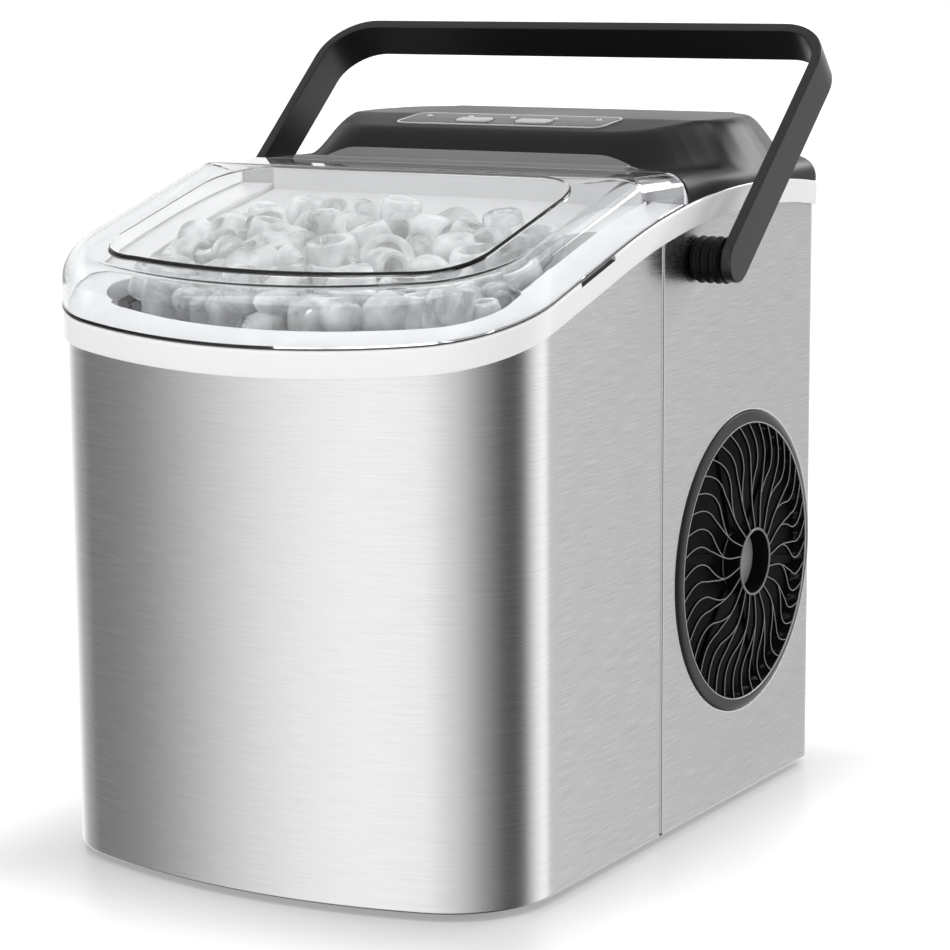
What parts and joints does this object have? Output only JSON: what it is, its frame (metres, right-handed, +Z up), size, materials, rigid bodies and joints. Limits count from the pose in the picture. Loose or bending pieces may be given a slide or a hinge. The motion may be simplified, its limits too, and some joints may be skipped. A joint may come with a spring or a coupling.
{
  "type": "countertop ice maker",
  "caption": "Countertop bullet ice maker: steel case with a white wave frame, clear hinged lid over an ice basket, black control cover, round side vents and a swinging carry handle.",
  "frame": {"origin": "on the floor, under the middle of the case box", "axes": "+X to the right side of the machine, -Y towards its front, +Z up"},
  "size_m": [0.2586, 0.302, 0.3368],
  "materials": {
    "steel": "fine horizontal brushing",
    "base_metal": "satin",
    "rubber": "matte",
    "white_plastic": "gloss",
    "black_cover": "satin",
    "panel_black": "satin",
    "button_grey": "satin",
    "light_grey": "satin",
    "board_green": "satin",
    "vent_black": "satin",
    "grille_grey": "satin",
    "hub_grey": "satin",
    "handle_black": "satin gloss",
    "steel_pin": "polished",
    "lid_clear": "clear, slightly grey plastic",
    "window_clear": "clear plastic",
    "basket_clear": "translucent",
    "tub_white": "satin",
    "foam": "matte",
    "nickel": "satin",
    "tray_clear": "translucent",
    "motor_grey": "satin",
    "hose": "satin",
    "compressor_black": "satin",
    "aluminium": "satin",
    "copper": "bright",
    "fan_white": "satin"
  },
  "bodies": {
    "case": {"base_tray": "base_metal", "rubber_feet": "rubber", "front_panel": "steel", "right_panel": "steel", "left_panel": "steel", "rear_panel": "steel", "rear_screws": "steel_pin", "top_frame": "white_plastic", "top_cover": "black_cover", "control_panel": "panel_black", "indicator_lights": "light_grey", "control_board": "board_green", "right_vent_bezel": "vent_black", "right_vent_grille": "grille_grey", "right_vent_hub": "hub_grey", "left_vent_bezel": "vent_black", "left_vent_grille": "grille_grey", "left_vent_hub": "hub_grey", "right_pivot_boss": "handle_black", "left_pivot_boss": "handle_black", "water_tub": "tub_white", "foam_insulation": "foam", "evaporator": "nickel", "ice_guard": "white_plastic", "tray_brackets": "tub_white", "tray_motor": "motor_grey", "ice_sensor": "panel_black", "level_sensor": "tub_white", "water_pump": "compressor_black", "pump_hose": "hose", "drain_hose": "hose", "partition_wall": "base_metal", "compressor": "compressor_black", "compressor_mounts": "rubber", "condenser": "aluminium", "fan_shroud": "panel_black", "fan_motor": "motor_grey", "refrigerant_pipes": "copper", "filter_drier": "copper", "hot_gas_valve": "copper", "cord_gland": "rubber"},
    "handle_assembly": {"handle": "handle_black", "handle_pins": "steel_pin", "handle_clips": "steel_pin"},
    "lid_assembly": {"lid": "lid_clear", "lid_window": "window_clear", "lid_hinge_pins": "steel_pin"},
    "start_key": {"start_button": "button_grey"},
    "select_key": {"select_button": "button_grey"},
    "fan": {"fan_blade": "fan_white"},
    "tray": {"water_tray": "tray_clear"},
    "shovel": {"ice_shovel": "tray_clear"},
    "basket": {"ice_basket": "basket_clear"},
    "float": {"level_float": "white_plastic"},
    "cap": {"drain_cap": "rubber"}
  },
  "joints": [
    {"name": "handle_swing", "type": "hinge", "parent": "case", "child": "handle_assembly", "pos_m": [0, 0.03, 0.2426], "axis": [1, 0, 0], "range_deg": [0, 48.5]},
    {"name": "lid_hinge", "type": "hinge", "parent": "case", "child": "lid_assembly", "pos_m": [0, 0.0255, 0.2745], "axis": [-1, 0, 0], "range_deg": [0, 80]},
    {"name": "start_press", "type": "slide", "parent": "case", "child": "start_key", "axis": [0, 0.1201, -0.9928], "range_m": [0, 0.0008], "stiffness_N_per_m": 400},
    {"name": "select_press", "type": "slide", "parent": "case", "child": "select_key", "axis": [0, 0.1201, -0.9928], "range_m": [0, 0.0008], "stiffness_N_per_m": 400},
    {"name": "fan_spin", "type": "hinge", "parent": "case", "child": "fan", "pos_m": [0.0925, 0.0767, 0.107], "axis": [1, 0, 0], "continuous": true},
    {"name": "tray_tilt", "type": "hinge", "parent": "case", "child": "tray", "pos_m": [0, 0.028, 0.228], "axis": [1, 0, 0], "range_deg": [0, 50]},
    {"name": "shovel_lift", "type": "hinge", "parent": "case", "child": "shovel", "pos_m": [0, 0.028, 0.228], "axis": [1, 0, 0], "range_deg": [-20, 0]},
    {"name": "basket_lift", "type": "slide", "parent": "case", "child": "basket", "axis": [0, 0, 1], "range_m": [0, 0.02]},
    {"name": "float_rise", "type": "slide", "parent": "case", "child": "float", "axis": [0, 0, 1], "range_m": [0, 0.025]},
    {"name": "drain_cap_pull", "type": "slide", "parent": "case", "child": "cap", "axis": [0, 1, 0], "range_m": [0, 0.012]}
  ],
  "couplings": [
    {"joint": "shovel_lift", "follows": "tray_tilt", "ratio": -0.4}
  ]
}
